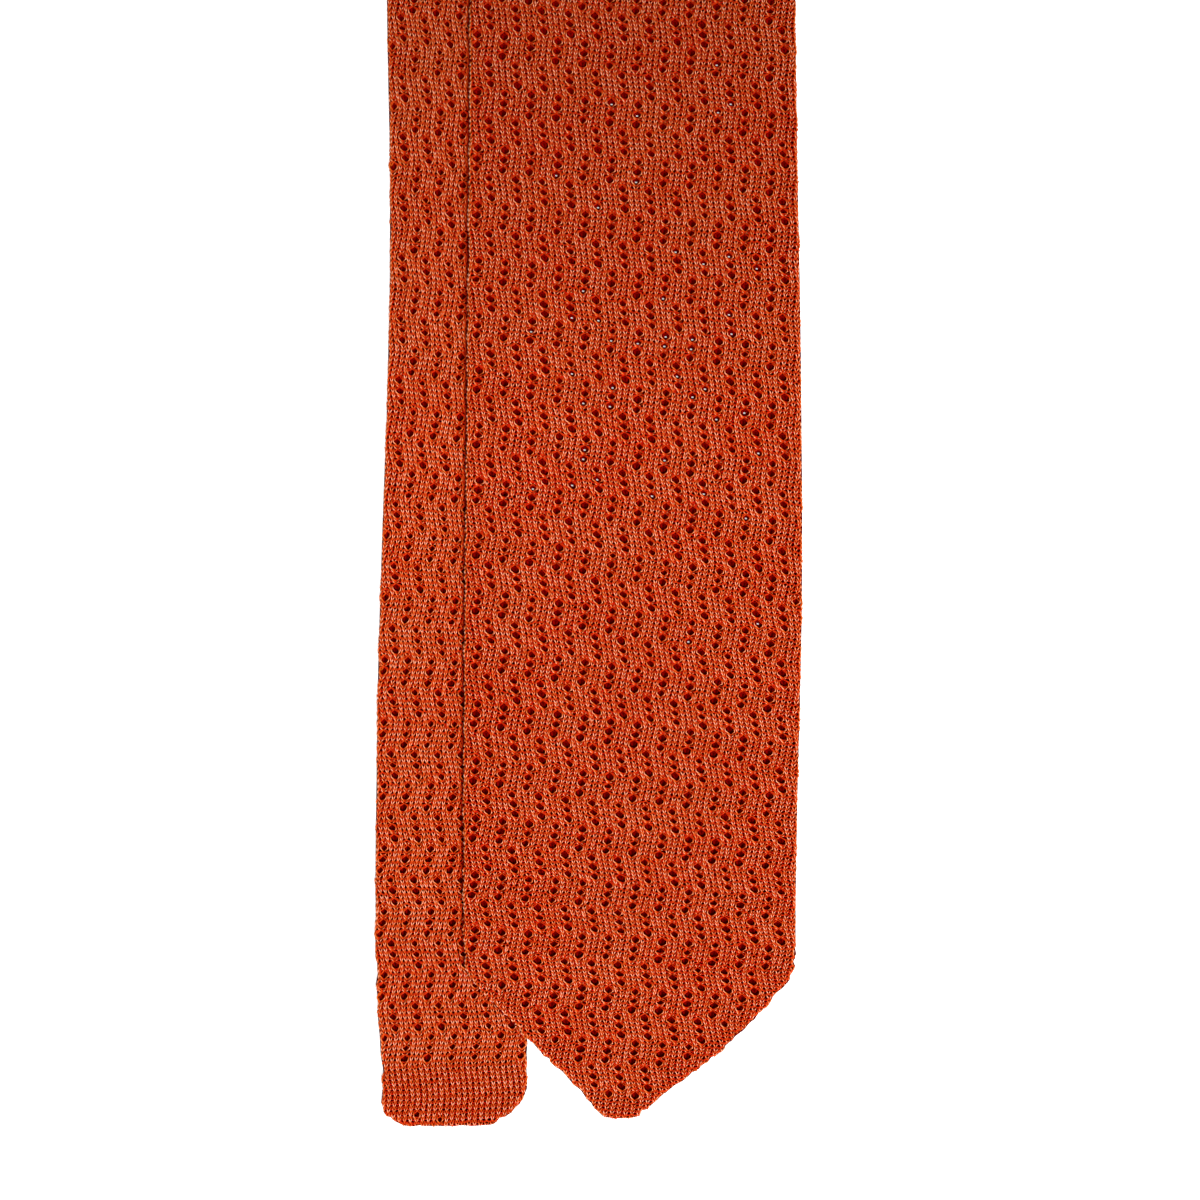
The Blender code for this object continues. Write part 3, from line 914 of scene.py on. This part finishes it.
def flat_ground(x, y):
    """The narrow blade lies on the ground."""
    return np.zeros_like(x)


def draped_ground(x, y):
    """The wide blade's ground: the narrow one's top, and to the right of it an eased fall to the floor."""
    tail = tail_outline()
    beyond = x - tail.edge(np.clip(y, tail.first, tail.last), tail.right) - DRAPE_MARGIN
    return LAYER_RISE * (1.0 - ease(beyond / DRAPE_RUN))


@cache
def silk():
    """The finishes: yarn of the blades and of the hem, cloth of the lower and the upper layers."""
    colours = bpy.context.scene.tie_silk
    return (
        yarn_material("openwork_yarn", colours), yarn_material("plain_yarn", colours),
        cloth_material("shaded_inner_knit", colours.shade, colours.inner, UNDER_ROUGHNESS, UNDER_SHADE_PATCHES),
        cloth_material("openwork_cloth", colours.cloth_deep, colours.cloth, UPPER_ROUGHNESS, UPPER_PATCHES))


def knit(cloth, name, courses, eyelets, shown, lit, parts, sizes, loop, seed, material):
    """Knit a blade's upper layer stitch by stitch, in parts of about equal size.

    At the outline each course ends a little further out or in than the next, which fades inwards.
    """
    p, q, rise, proud, near = loops(cloth, courses, eyelets, sizes, loop, seed)
    flat = cloth.flat(p, q)
    level = THICKNESS - sizes.radius - loop.depth
    place, normal, kept, inside, out = cloth.lay(flat, level, rise.ravel(), UPPER[1])
    draw = np.random.default_rng(seed + EDGE_SEED)
    single = draw.normal(0, 1, (len(p), 2)) * EDGE_UNEVEN[0]
    slow = np.convolve(draw.normal(0, 1, len(p) + EDGE_COURSES - 1), np.hanning(EDGE_COURSES), "valid")
    single += slow[:, None] * EDGE_UNEVEN[1]
    uneven = single[np.arange(len(p))[:, None], (p < 0).astype(int)].ravel()
    place[:, :2] += out * (uneven * np.exp(-np.maximum(inside, 0) / EDGE_FADE))[:, None]
    kept &= (flat[:, 1] > cloth.outline.first - LAP) & (flat[:, 1] < FINE_END + 2 * LAP) & shown(*flat.T)
    place, normal = (field.reshape(*p.shape, 3) for field in (place, normal))
    # Painted shadow: lit takes the painted highlight off where another piece would shade the yarn
    proud = proud * lit(*flat.T).reshape(p.shape)
    kept = kept.reshape(p.shape)
    filled = np.cumsum(kept.sum(axis=1))
    cuts = [0, *(int(np.searchsorted(filled, filled[-1] * k / parts)) for k in range(1, parts)), len(p)]
    pieces = []
    for k in range(parts):
        rows = slice(cuts[k], cuts[k + 1])
        title = f"{name}_{k + 1}" if parts > 1 else name
        fields = (field[rows] for field in (place, normal, kept, proud, near))
        pieces.append(yarn_piece(title, *fields, sizes.radius, material))
    return pieces


class TIE_OT_wide_blade(bpy.types.Operator):
    """Knit the wide blade: upper layer in stitches, lower layer and hidden stretch in cloth"""

    bl_idname = "tie.wide_blade"
    bl_label = "Wide blade"

    def execute(self, context):
        yarn, blades = context.scene.tie_yarn, context.scene.tie_blades
        silk_yarn, _, inner_cloth, upper_cloth = silk()
        cloth = Cloth(wide_outline(), blades.wide_wale, WIDE_ROWS, draped_ground)
        outline = cloth.outline
        shoulder = outline.first + POINT_LENGTH
        draw = np.random.default_rng(blades.seed)
        last, end = (int(cloth.course_at(y)) for y in (FINE_END, outline.last))

        def eyelets(p, q):
            x, y, depth = cloth.depth(p + 0.5, q + 0.5)
            return holes_of(p, q) & ((depth > SEWN_EDGE) | (y > shoulder) & (depth > EDGE_EYELET))

        def under_eyelets(x, y, p, q, depth):
            """Below the stitches the lower layer opens only where its eyelets lie under the upper ones."""
            aligned = np.exp(-((x - ALIGNED[0]) / ALIGNED[2]) ** 2 - ((y - ALIGNED[1]) / ALIGNED[3]) ** 2)
            meets = holes_of(p, q) & (draw.random(x.shape) < ALIGNED[4] * aligned)
            return np.where(y < FINE_END, meets, holes_of(p, q, (2, 0))) & (depth > SEWN_EDGE)

        loop = Loop(yarn.height, yarn.sway, yarn.depth, yarn.eyelet, WIDE_SQUEEZE, DRAWN_IN)
        pieces = knit(cloth, "wide_blade_stitches", (-STITCH_MARGIN, last), eyelets, everywhere, everywhere,
                      4, yarn, loop, blades.seed, silk_yarn)
        end += CLOTH_MARGIN
        lower = cloth_slab("wide_blade_under", cloth, (-CLOTH_MARGIN, end), UNDER, inner_cloth,
                           under_eyelets, shrink=UNDER_HOLE)
        upper = cloth_slab("wide_blade_upper", cloth, (last - LAP_COURSES, end), UPPER, upper_cloth,
                           upper_holes, cloth.unstitched)
        settle([*pieces, lower, upper], "wide_blade")
        width, far = outline.right - outline.left, outline.y > FINE_END
        area, rest = (float(np.trapz(width[part], outline.y[part])) for part in (slice(None), far))
        return {"FINISHED"}


class TIE_OT_narrow_blade(bpy.types.Operator):
    """Knit the narrow blade and its plain hem, in stitches where they show and in cloth elsewhere"""

    bl_idname = "tie.narrow_blade"
    bl_label = "Narrow blade and hem"

    def execute(self, context):
        yarn, blades = context.scene.tie_yarn, context.scene.tie_blades
        silk_yarn, hem_yarn, inner_cloth, upper_cloth = silk()
        cloth = Cloth(tail_outline(), blades.narrow_wale, NARROW_ROWS, flat_ground)
        outline, above = cloth.outline, wide_outline()
        last, end = (int(cloth.course_at(y)) for y in (FINE_END, outline.last))

        def covered(x, y):
            """How far a point lies under the wide blade, beyond its left edge."""
            held = np.maximum(y, above.first)
            return np.where(y > above.first, x - above.edge(held, above.left), -1.0)

        def eyelets(p, q):
            hem = sum((p == wale) & (q == course) for wale, course in HEM_EYELETS)
            depth = cloth.depth(p + 0.5, q + 0.5)[2]
            return np.where(q > HEM_COURSES, holes_of(p, q) & (depth > TAIL_EDGE_EYELET), hem)

        def shown(x, y):
            return covered(x, y) < STITCHED_TO

        def lit(x, y):
            """Painted shadow: close to the wide blade's straight edge the yarn loses most of its bright top.
            """
            straight = ease((y - above.first - POINT_LENGTH) / EDGE_FADE)
            return 1.0 - EDGE_SHADE * straight * ease(1.0 + covered(x, y) / EDGE_SHADE_REACH)

        def beyond(x, y, q):
            return cloth.unstitched(x, y, q) | (covered(x, y) > HIDDEN_FROM)

        loop = Loop(yarn.height, yarn.sway, yarn.depth, yarn.eyelet * TAIL_EYELET, TAIL_SQUEEZE, DRAWN_IN)
        in_hem, rest = (-HEM_MARGIN, HEM_COURSES + 1), (HEM_COURSES + 1, end + TAIL_MARGIN)
        hem = knit(cloth, "tail_hem_stitches", in_hem, eyelets, shown, lit, 1, yarn, HEM_LOOP,
                   blades.seed + 1, hem_yarn)
        pieces = knit(cloth, "narrow_blade_stitches", (rest[0], last), eyelets, shown, lit, 2, yarn, loop,
                      blades.seed + 2, silk_yarn)
        hem_under = cloth_slab("tail_hem_under", cloth, in_hem, UNDER, inner_cloth)
        lower = cloth_slab("narrow_blade_under", cloth, rest, UNDER, inner_cloth, step=2)
        upper = cloth_slab("narrow_blade_upper", cloth, rest, UPPER, upper_cloth, upper_holes, beyond)
        settle([*hem, hem_under], "tail_hem")
        settle([*pieces, lower, upper], "narrow_blade")
        from_x = above.edge(np.maximum(outline.y, above.first), above.left) + HIDDEN_FROM
        from_x = np.where(outline.y < above.first, outline.right, np.maximum(from_x, outline.left))
        from_x = np.where(outline.y > FINE_END, outline.left, from_x)
        area = float(np.trapz(np.maximum(outline.right - from_x, 0.0), outline.y))
        return {"FINISHED"}


def neck_path():
    """Middle line of the neck band in the YZ plane, and how far along it each point lies.

    Along the ground, half a turn of FOLD_RADIUS at the far end, and back on top, where the height eases down
    to the narrow blade's top over FOLD_EASE.
    """
    turn_y = FAR_END - FOLD_RADIUS - THICKNESS / 2
    ground = THICKNESS / 2
    lower = np.linspace(NARROW_SEAM - SEAM_LAP, turn_y, NECK_STEPS[0])
    turn = np.linspace(-np.pi / 2, np.pi / 2, NECK_STEPS[1])[1:-1]
    upper = np.linspace(turn_y, BLADE_SEAM - SEAM_LAP, NECK_STEPS[2])
    rise = LAYER_RISE + (2 * FOLD_RADIUS - LAYER_RISE) * ease((upper - turn_y + FOLD_EASE) / FOLD_EASE)
    line = np.concatenate((
        np.column_stack((lower, np.full_like(lower, ground))),
        np.column_stack((turn_y + FOLD_RADIUS * np.cos(turn), ground + FOLD_RADIUS * (1 + np.sin(turn)))),
        np.column_stack((upper, ground + rise)),
    ))
    length = np.concatenate(([0.0], np.cumsum(np.linalg.norm(np.diff(line, axis=0), axis=1))))
    return line, length


class TIE_OT_neck_band(bpy.types.Operator):
    """Knit the plain tube that goes round the neck, folded over at the far end"""

    bl_idname = "tie.neck_band"
    bl_label = "Neck band"

    def execute(self, context):
        line, length = neck_path()
        courses = int(length[-1] / NECK_COURSE)
        steps = np.linspace(0.0, length[-1], courses // 2 + 1)
        path = np.column_stack([np.interp(steps, length, line[:, axis]) for axis in (0, 1)])
        along = np.gradient(path, axis=0)
        along[0], along[-1] = (1.0, 0.0), (-1.0, 0.0)
        along /= np.linalg.norm(along, axis=1)[:, None]
        normal = np.column_stack((-along[:, 1], along[:, 0]))
        wales = context.scene.tie_blades.neck_wales

        def section(inset, half):
            """Closed outline of a flat band with half-round sides, at even steps round it."""
            left, right = NECK_LEFT + inset + half, NECK_RIGHT - inset - half
            arc = np.linspace(-np.pi / 2, np.pi / 2, SIDE_STEPS)
            x = np.concatenate(([left], right + half * np.cos(arc), left - half * np.cos(arc)))
            h = np.concatenate(([-half], half * np.sin(arc), -half * np.sin(arc)))
            gone = np.concatenate(([0.0], np.cumsum(np.hypot(np.diff(x), np.diff(h)))))
            at = np.arange(wales) / wales * gone[-1]
            return np.interp(at, gone, x), np.interp(at, gone, h)

        grids = []
        for inset, half in ((0.0, THICKNESS / 2), (SLAB, THICKNESS / 2 - SLAB)):
            x, h = section(inset, half)
            y, z = (path[:, axis, None] + h * normal[:, axis, None] for axis in (0, 1))
            grids.append(np.stack((np.broadcast_to(x, y.shape), y, z), axis=-1))
        row, column = np.mgrid[0:len(path), 0:wales + 1]
        stitch = np.stack((column, row * 2), axis=-1).astype(float)
        kept = np.ones((len(path) - 1, wales), dtype=bool)
        band = slab_piece("neck_band_knit", *grids, kept, stitch, silk()[-1])
        settle([band], "neck_band")
        return {"FINISHED"}


class TIE_OT_stage(bpy.types.Operator):
    """Set up the pale floor, the soft light and the camera straight above"""

    bl_idname = "tie.stage"
    bl_label = "Stage"

    def execute(self, context):
        scene = context.scene
        stage = scene.tie_stage
        paper = Tree("pale_paper")
        grain = paper.noise(GRAIN_SCALE)
        paper.finish({"Emission Color": WHITE, "Emission Strength": stage.glow},
                     {"Base Color": paper.mix(grain, *PAPER_GREYS),
                      "Roughness": PAPER_ROUGHNESS[0] + grain * PAPER_ROUGHNESS[1]})
        corners = np.array([(-1, -1, 0), (1, -1, 0), (1, 1, 0), (-1, 1, 0)]) * FLOOR_REACH
        floor = put_mesh("floor", corners - (0, 0, FLOOR_DROP), [np.array([[0, 1, 2, 3]])], paper.material)
        world = bpy.data.worlds.new("soft_room")
        world.use_nodes = True
        sky = world.node_tree.nodes["Background"].inputs
        sky["Color"].default_value, sky["Strength"].default_value = WHITE, stage.world
        scene.world = world
        key = bpy.data.lights.new("key", "SUN")
        key.energy = stage.key
        key.angle = stage.key_size
        put_object("key", key).rotation_euler = stage.key_tilt
        camera = bpy.data.cameras.new("camera")
        camera.lens = stage.lens
        eye = scene.camera = put_object("camera", camera)
        distance = stage.view_side * stage.lens / camera.sensor_width
        eye.location = (stage.view_x, stage.view_y, distance + THICKNESS)
        scene.view_settings.view_transform = "Standard"
        return {"FINISHED"}


class TIE_PT_panel(bpy.types.Panel):
    """Sizes, colours and steps of the tie"""

    bl_idname = "TIE_PT_panel"
    bl_label = "Grenadine tie"
    bl_space_type = "VIEW_3D"
    bl_region_type = "UI"
    bl_category = "Tie"

    def draw(self, context):
        for title, _ in GROUPS:
            group = getattr(context.scene, title)
            box = self.layout.box()
            for key in type(group).__annotations__:
                box.prop(group, key)
        for operator in OPERATORS:
            self.layout.operator(operator.bl_idname)


GROUPS = (
    ("tie_yarn", YarnSizes),
    ("tie_blades", BladeSizes),
    ("tie_silk", SilkColours),
    ("tie_stage", StageSizes),
)
OPERATORS = (TIE_OT_narrow_blade, TIE_OT_wide_blade, TIE_OT_neck_band, TIE_OT_stage)
CLASSES = (*(group for _, group in GROUPS), *OPERATORS, TIE_PT_panel)


def register():
    for kind in CLASSES:
        bpy.utils.register_class(kind)
    for title, group in GROUPS:
        setattr(bpy.types.Scene, title, PointerProperty(type=group))


def unregister():
    for title, _ in GROUPS:
        delattr(bpy.types.Scene, title)
    for kind in reversed(CLASSES):
        bpy.utils.unregister_class(kind)


def main():
    """Register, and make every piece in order."""
    register()
    bpy.ops.tie.narrow_blade()
    bpy.ops.tie.wide_blade()
    bpy.ops.tie.neck_band()
    bpy.ops.tie.stage()


if __name__ == "__main__":
    main()
